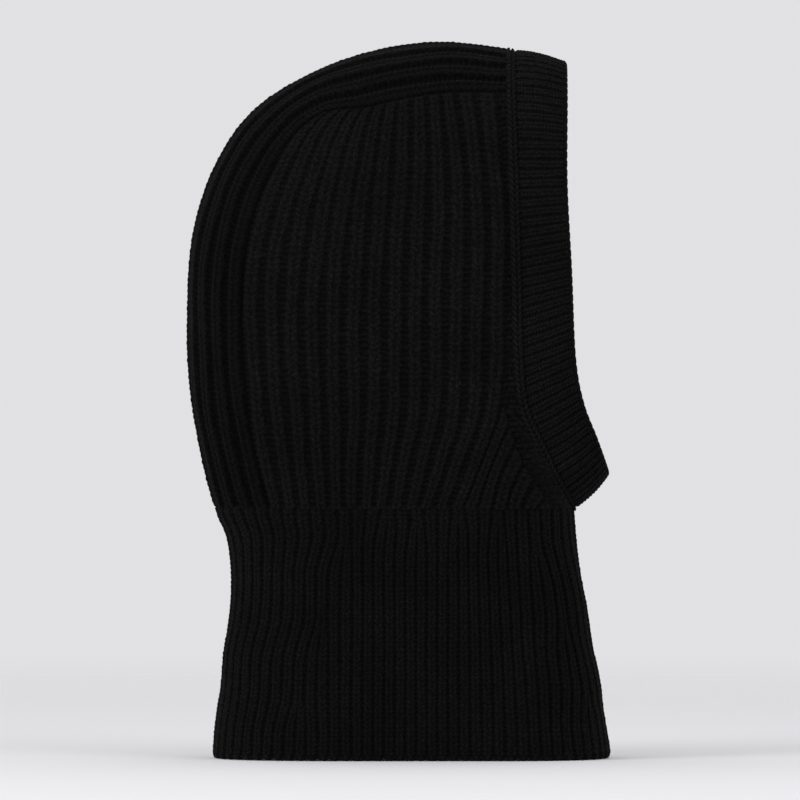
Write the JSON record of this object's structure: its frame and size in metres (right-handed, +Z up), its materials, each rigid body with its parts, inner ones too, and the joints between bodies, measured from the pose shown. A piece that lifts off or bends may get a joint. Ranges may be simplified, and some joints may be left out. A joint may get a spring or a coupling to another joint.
{
  "type": "balaclava",
  "caption": "Ribbed wool balaclava: a hood with an oval face opening, a rib-knitted face band and a long ribbed neck tube.",
  "frame": {"origin": "middle of the hem's bounding rectangle, in the plane that the hem stands on", "axes": "+X is the way the face looks, +Y is the wearer's left, +Z is up the neck to the crown"},
  "size_m": [0.237, 0.128, 0.4],
  "materials": {
    "knit": "matt black wool in wide ribs",
    "band": "matt black wool in fine ribs",
    "edge": "matt black wool, cast-on and bound-off edge",
    "seam": "matt black wool linking stitches"
  },
  "bodies": {
    "root": {"neck_rib": "knit", "crown_strip": "knit", "left_side_panel": "knit", "right_side_panel": "knit", "face_band": "band", "rim_bind_off": "edge", "hem_cast_on": "edge", "neck_transfer_row": "knit", "face_linking_chain": "seam", "left_crown_seam": "seam", "right_crown_seam": "seam", "chin_join": "seam"}
  },
  "joints": []
}
